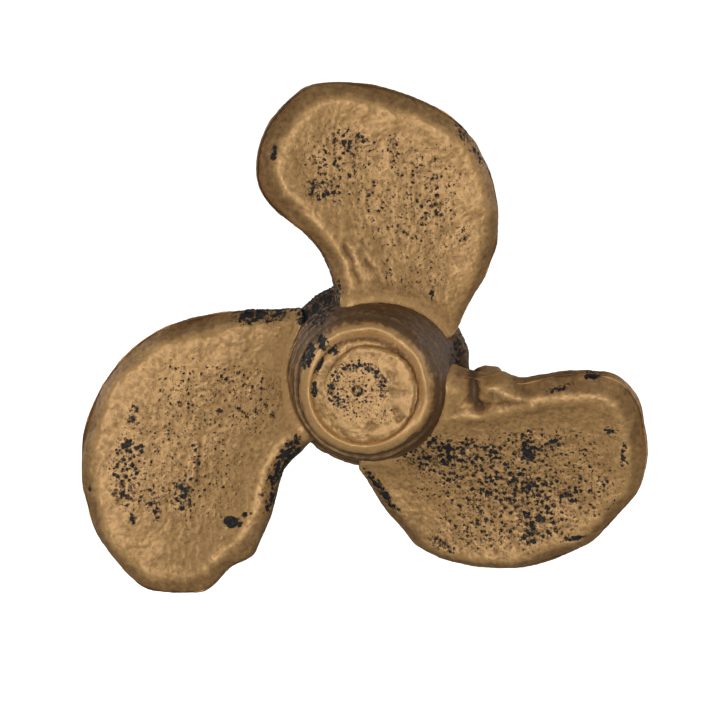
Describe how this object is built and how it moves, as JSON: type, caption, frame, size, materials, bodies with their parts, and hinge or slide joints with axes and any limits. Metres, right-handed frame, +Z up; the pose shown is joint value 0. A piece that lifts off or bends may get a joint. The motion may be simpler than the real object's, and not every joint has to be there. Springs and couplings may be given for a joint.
{
  "type": "three-bladed cast propeller on a spindle",
  "caption": "Gold-painted cast screw propeller with three broad dished blades and a stepped hub, turning freely on a short spindle with a tapped rear mounting face.",
  "frame": {"origin": "centre of the spindle flange's rear face, at the mouth of its tapped hole, on the shaft axis", "axes": "+Y along the shaft axis towards the rear (the nose points along -Y), +Z up, +X to the right as seen from the nose"},
  "size_m": [0.1035, 0.0264, 0.0933],
  "materials": {
    "painted_casting": "rough sand casting, gold bronze paint worn through to black",
    "turned_steel": "turned steel, lightly oiled",
    "bronze_bearing": "bearing bronze, machined",
    "fibre_seal": "red-brown vulcanised fibre"
  },
  "bodies": {
    "spindle": {"spindle": "turned_steel", "rear_thrust_washer": "bronze_bearing", "front_thrust_washer": "bronze_bearing", "spindle_nut": "turned_steel", "split_pin": "turned_steel"},
    "propeller": {"hub": "painted_casting", "blade_top": "painted_casting", "blade_left": "painted_casting", "blade_right": "painted_casting", "blade_pin_top": "turned_steel", "blade_pin_left": "turned_steel", "blade_pin_right": "turned_steel", "rear_bush": "bronze_bearing", "front_bush": "bronze_bearing", "nose_cap": "painted_casting", "cap_gasket": "fibre_seal", "oil_plug": "painted_casting", "plug_washer": "fibre_seal"}
  },
  "joints": [
    {"name": "propeller_spin", "type": "hinge", "parent": "spindle", "child": "propeller", "pos_m": [0, 0, 0], "axis": [0, -1, 0], "continuous": true}
  ]
}
